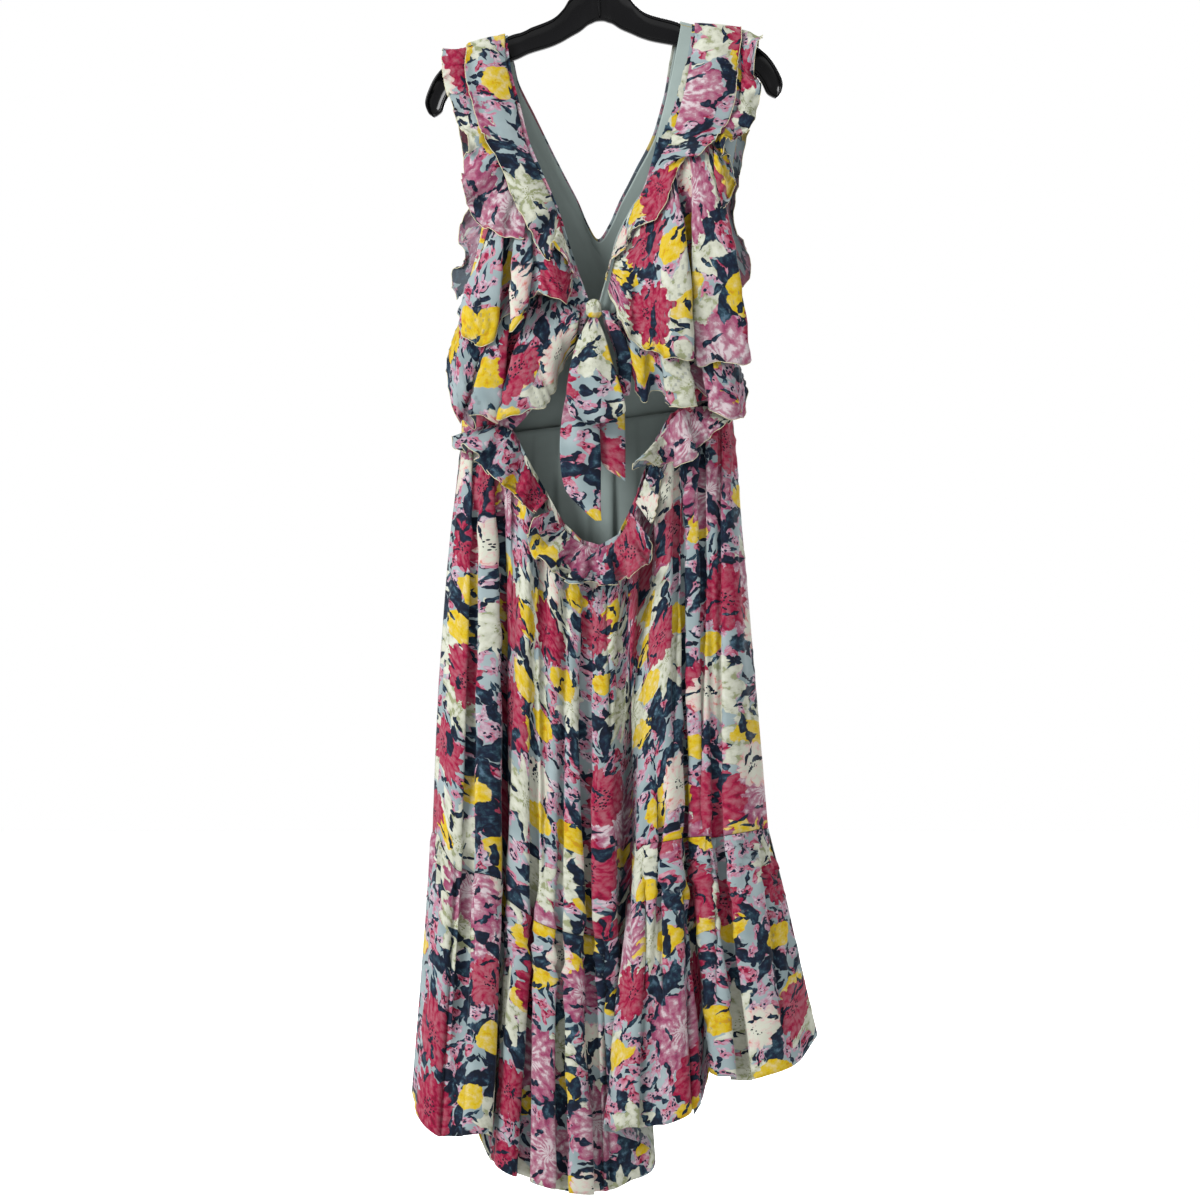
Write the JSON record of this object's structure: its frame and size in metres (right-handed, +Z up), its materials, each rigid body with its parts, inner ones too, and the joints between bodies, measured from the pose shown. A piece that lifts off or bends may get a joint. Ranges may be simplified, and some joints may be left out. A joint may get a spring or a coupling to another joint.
{
  "type": "maxi dress on a hanger",
  "caption": "Sleeveless ruffled floral maxi dress with an open tied back, a gathered skirt and a high-low hem, hung on a plastic hanger.",
  "frame": {"origin": "where the hanger's hook bears on its rail", "axes": "+Z up, +X to the right as seen from the open tied back, the back faces -Y and the front +Y"},
  "size_m": [0.481, 0.1606, 1.5113],
  "materials": {
    "printed_chiffon": "floral print on a pale blue-grey ground, matte and slightly sheer",
    "sage_lining": "plain matte sage-grey lining",
    "black_plastic": "moulded, glossy black",
    "chromed_wire": "bright plated steel wire"
  },
  "bodies": {
    "root": {"hanger_body": "black_plastic", "hanger_hook": "chromed_wire", "back_skirt": "printed_chiffon", "back_tier": "printed_chiffon", "front_skirt": "printed_chiffon", "front_tier": "printed_chiffon", "front_bodice": "printed_chiffon", "front_bodice_lining": "sage_lining", "front_skirt_lining": "sage_lining", "back_bodice_left": "printed_chiffon", "back_bodice_right": "printed_chiffon", "lower_flounce_left": "printed_chiffon", "lower_flounce_right": "printed_chiffon", "middle_flounce_left": "printed_chiffon", "middle_flounce_right": "printed_chiffon", "arm_frill_back_left": "printed_chiffon", "arm_frill_back_right": "printed_chiffon", "neck_frill_left": "printed_chiffon", "neck_frill_right": "printed_chiffon", "cutout_frill_centre": "printed_chiffon", "cutout_frill_left": "printed_chiffon", "cutout_frill_right": "printed_chiffon", "arm_frill_front_left": "printed_chiffon", "arm_frill_front_right": "printed_chiffon", "tie_knot": "printed_chiffon", "tie_loop_front": "printed_chiffon", "tie_loop_side": "printed_chiffon", "tie_tail_left": "printed_chiffon", "tie_tail_right": "printed_chiffon"}
  },
  "joints": []
}
